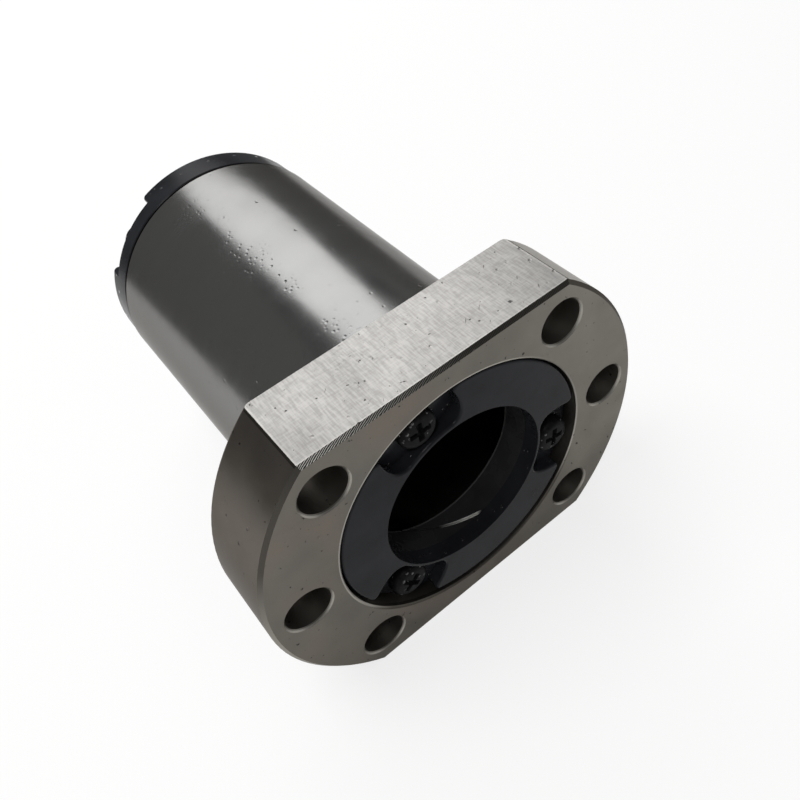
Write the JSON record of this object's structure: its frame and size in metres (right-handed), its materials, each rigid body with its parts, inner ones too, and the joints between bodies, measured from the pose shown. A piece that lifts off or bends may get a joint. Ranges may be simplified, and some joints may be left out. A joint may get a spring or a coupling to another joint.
{
  "type": "ball screw nut",
  "caption": "Flanged ball nut: a ground steel sleeve with a flat-sided flange and bolt holes, black end caps held by screws, and recirculating balls in a helical groove round its bore.",
  "frame": {"origin": "on the screw's axis, in the plane of the flange's mounting face", "axes": "+Y along the screw's axis from the flange towards the rear cap, +Z square to the flange's flats, X across the flange"},
  "size_m": [0.062, 0.07, 0.048],
  "materials": {
    "ground_steel": "ground, with milled flats",
    "cap_plastic": "moulded, oily",
    "wiper_plastic": "moulded",
    "deflector_plastic": "moulded",
    "black_screw": "blackened steel",
    "ball_steel": "polished"
  },
  "bodies": {
    "root": {"nut_body": "ground_steel", "front_end_cap": "cap_plastic", "rear_end_cap": "cap_plastic", "front_wiper": "wiper_plastic", "rear_wiper": "wiper_plastic", "front_deflector": "deflector_plastic", "rear_deflector": "deflector_plastic", "loaded_balls": "ball_steel", "rear_turn_balls": "ball_steel", "return_balls": "ball_steel", "front_turn_balls": "ball_steel", "front_cap_screw_1": "black_screw", "front_cap_screw_2": "black_screw", "front_cap_screw_3": "black_screw", "rear_cap_screw_1": "black_screw", "rear_cap_screw_2": "black_screw", "rear_cap_screw_3": "black_screw"}
  },
  "joints": []
}
